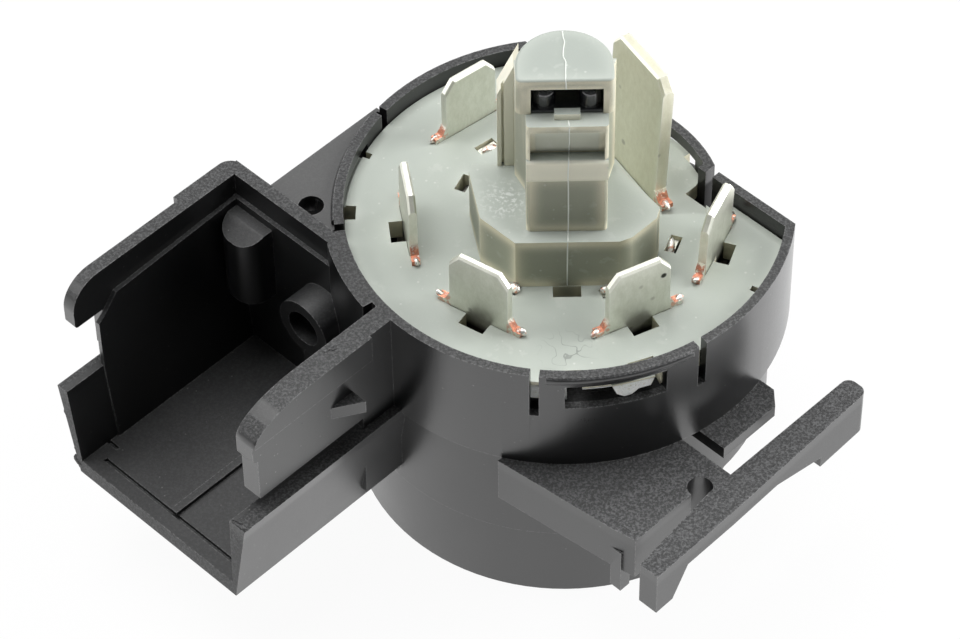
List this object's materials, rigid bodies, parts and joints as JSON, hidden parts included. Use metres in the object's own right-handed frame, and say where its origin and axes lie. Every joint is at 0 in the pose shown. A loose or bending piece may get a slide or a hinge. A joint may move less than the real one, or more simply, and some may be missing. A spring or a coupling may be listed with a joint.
{
  "type": "ignition switch",
  "caption": "Electrical part of a car's ignition switch: round snap-together housing with a side cradle, flat blade terminals, a guide post and a keyed rotor.",
  "frame": {"origin": "axis of the round body, at the lower end of the spigot", "axes": "+Z along the axis towards the terminals; the guide post's flat front faces -Y, and the cradle points to -X -Y"},
  "size_m": [0.0747, 0.0558, 0.0538],
  "materials": {
    "black_plastic": "black glass-filled moulding, faint sheen",
    "grey_plastic": "grey-green moulding, satin",
    "insert_plastic": "black, glossy",
    "rotor_plastic": "natural low-friction moulding",
    "washer_steel": "plain",
    "spring_steel": "drawn wire",
    "plated_copper": "dull silver plating over copper, bare at sheared ends",
    "bridge_copper": "copper",
    "plunger_steel": "polished"
  },
  "bodies": {
    "housing": {"housing": "black_plastic", "terminal_plate": "grey_plastic", "post_insert": "insert_plastic", "thrust_washer": "washer_steel", "return_spring": "spring_steel", "blade_front_left": "plated_copper", "blade_front_right": "plated_copper", "blade_left": "plated_copper", "blade_right": "plated_copper", "blade_back_left": "plated_copper", "blade_wide": "plated_copper"},
    "rotor": {"rotor": "rotor_plastic", "bridge_spring_1": "spring_steel", "bridge_spring_2": "spring_steel", "bridge_spring_3": "spring_steel", "detent_spring_1": "spring_steel", "detent_spring_2": "spring_steel"},
    "contact_bridge_1": {"contact_bridge_1": "bridge_copper"},
    "contact_bridge_2": {"contact_bridge_2": "bridge_copper"},
    "contact_bridge_3": {"contact_bridge_3": "bridge_copper"},
    "detent_plunger_1": {"detent_plunger_1": "plunger_steel"},
    "detent_plunger_2": {"detent_plunger_2": "plunger_steel"}
  },
  "joints": [
    {"name": "rotor_turn", "type": "hinge", "parent": "housing", "child": "rotor", "pos_m": [0, 0, 0], "axis": [0, 0, 1], "range_deg": [0, 105], "deforming": ["return_spring"]},
    {"name": "contact_bridge_1_press", "type": "slide", "parent": "rotor", "child": "contact_bridge_1", "axis": [0, 0, -1], "range_m": [0, 0.0008], "stiffness_N_per_m": 600, "springref_m": -0.002, "deforming": ["bridge_spring_1"]},
    {"name": "contact_bridge_2_press", "type": "slide", "parent": "rotor", "child": "contact_bridge_2", "axis": [0, 0, -1], "range_m": [0, 0.0008], "stiffness_N_per_m": 600, "springref_m": -0.002, "deforming": ["bridge_spring_2"]},
    {"name": "contact_bridge_3_press", "type": "slide", "parent": "rotor", "child": "contact_bridge_3", "axis": [0, 0, -1], "range_m": [0, 0.0008], "stiffness_N_per_m": 600, "springref_m": -0.002, "deforming": ["bridge_spring_3"]},
    {"name": "detent_plunger_1_out", "type": "slide", "parent": "rotor", "child": "detent_plunger_1", "axis": [0.9659, 0.2588, 0], "range_m": [0, 0.0005], "stiffness_N_per_m": 500, "springref_m": 0.003, "deforming": ["detent_spring_1"]},
    {"name": "detent_plunger_2_out", "type": "slide", "parent": "rotor", "child": "detent_plunger_2", "axis": [-0.9659, -0.2588, 0], "range_m": [0, 0.0005], "stiffness_N_per_m": 500, "springref_m": 0.003, "deforming": ["detent_spring_2"]}
  ]
}
